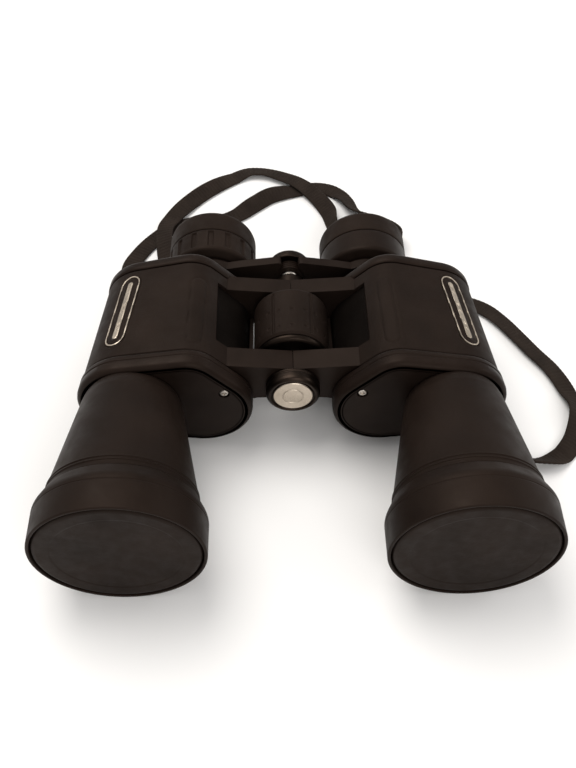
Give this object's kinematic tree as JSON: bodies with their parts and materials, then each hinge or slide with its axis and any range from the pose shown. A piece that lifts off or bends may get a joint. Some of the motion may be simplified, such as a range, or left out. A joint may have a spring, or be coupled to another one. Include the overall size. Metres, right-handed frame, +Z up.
{
  "type": "astronomy binoculars",
  "caption": "Porro-prism binoculars with flared objective tubes, rubber armour, centre focusing, a folding hinge, capped objectives and a woven neck strap.",
  "frame": {"origin": "on the ground under the middle of the binoculars, strap left out", "axes": "+X across from the left barrel to the right one, +Y from the objectives to the eyepieces, +Z up"},
  "size_m": [0.229, 0.2614, 0.065],
  "materials": {
    "body_paint": "satin dark brown-black paint on light alloy",
    "rubber": "matte, fine grain",
    "badge": "brushed",
    "bright_metal": "satin",
    "steel": "turned",
    "dark_metal": "black anodised",
    "glass": "polished, coated",
    "brass": "plain",
    "cap_plastic": "fine matte",
    "webbing": "ribbed woven webbing"
  },
  "bodies": {
    "left_half": {"left_housing": "body_paint", "left_armour": "rubber", "left_badge": "badge", "left_front_cover": "body_paint", "left_cover_screw": "bright_metal", "left_rear_cover": "body_paint", "left_eyepiece_guide": "bright_metal", "left_strap_lug": "dark_metal", "left_prism_shelf": "dark_metal", "left_rear_prism": "glass", "left_front_prism": "glass", "left_objective_tube": "body_paint", "left_objective_ring": "body_paint", "left_objective_doublet": "glass", "left_lens_retainer": "dark_metal", "left_strap_end": "webbing", "hinge_axle": "steel", "tripod_socket": "brass", "hinge_rear_nut": "dark_metal", "strap_left_run": "webbing", "strap_loop_run": "webbing", "strap_long_run": "webbing"},
    "right_half": {"right_housing": "body_paint", "right_armour": "rubber", "right_badge": "badge", "right_front_cover": "body_paint", "right_cover_screw": "bright_metal", "right_rear_cover": "body_paint", "right_eyepiece_guide": "bright_metal", "right_strap_lug": "dark_metal", "right_prism_shelf": "dark_metal", "right_rear_prism": "glass", "right_front_prism": "glass", "right_objective_tube": "body_paint", "right_objective_ring": "body_paint", "right_objective_doublet": "glass", "right_lens_retainer": "dark_metal", "right_strap_end": "webbing"},
    "focus_wheel": {"focus_wheel_core": "bright_metal", "focus_wheel_tyre": "rubber"},
    "left_eyepiece": {"bridge_left_arm": "body_paint", "focus_spindle": "steel", "bridge_end_cap": "dark_metal", "left_eyepiece_barrel": "dark_metal", "left_field_lens": "glass"},
    "right_eyepiece": {"bridge_right_arm": "body_paint", "right_eyepiece_barrel": "dark_metal", "right_field_lens": "glass", "right_ocular_cell": "dark_metal", "right_eye_lens": "glass", "right_eyecup": "rubber"},
    "dioptre": {"dioptre_ring": "rubber", "left_eyecup": "rubber"},
    "left_ocular": {"left_ocular_cell": "dark_metal", "left_eye_lens": "glass"},
    "left_cap": {"left_objective_cap": "cap_plastic"},
    "right_cap": {"right_objective_cap": "cap_plastic"},
    "hinge_cap": {"hinge_front_cap": "dark_metal"}
  },
  "joints": [
    {"name": "interpupillary_fold", "type": "hinge", "parent": "left_half", "child": "right_half", "pos_m": [0, 0, 0.0315], "axis": [0, 1, 0], "range_deg": [0, 50], "deforming": ["strap_long_run"]},
    {"name": "focus_turn", "type": "hinge", "parent": "left_half", "child": "focus_wheel", "pos_m": [0, 0, 0.0315], "axis": [0, 1, 0], "range_deg": [-150, 280]},
    {"name": "left_focus_slide", "type": "slide", "parent": "left_half", "child": "left_eyepiece", "axis": [0, 1, 0], "range_m": [-0.0027, 0.005]},
    {"name": "right_focus_slide", "type": "slide", "parent": "right_half", "child": "right_eyepiece", "axis": [0, 1, 0], "range_m": [-0.0027, 0.005]},
    {"name": "dioptre_turn", "type": "hinge", "parent": "left_eyepiece", "child": "dioptre", "pos_m": [-0.036, 0, 0.0205], "axis": [0, 1, 0], "range_deg": [-60, 60]},
    {"name": "dioptre_feed", "type": "slide", "parent": "left_eyepiece", "child": "left_ocular", "axis": [0, 1, 0], "range_m": [-0.001, 0.001]},
    {"name": "left_cap_pull", "type": "slide", "parent": "left_half", "child": "left_cap", "axis": [0, -1, 0], "range_m": [0, 0.03]},
    {"name": "right_cap_pull", "type": "slide", "parent": "right_half", "child": "right_cap", "axis": [0, -1, 0], "range_m": [0, 0.03]},
    {"name": "hinge_cap_pull", "type": "slide", "parent": "left_half", "child": "hinge_cap", "axis": [0, -1, 0], "range_m": [0, 0.02]}
  ],
  "couplings": [
    {"joint": "left_focus_slide", "follows": "focus_turn", "m_per_rad": 0.001},
    {"joint": "right_focus_slide", "follows": "focus_turn", "m_per_rad": 0.001},
    {"joint": "dioptre_feed", "follows": "dioptre_turn", "m_per_rad": 0.0009}
  ]
}
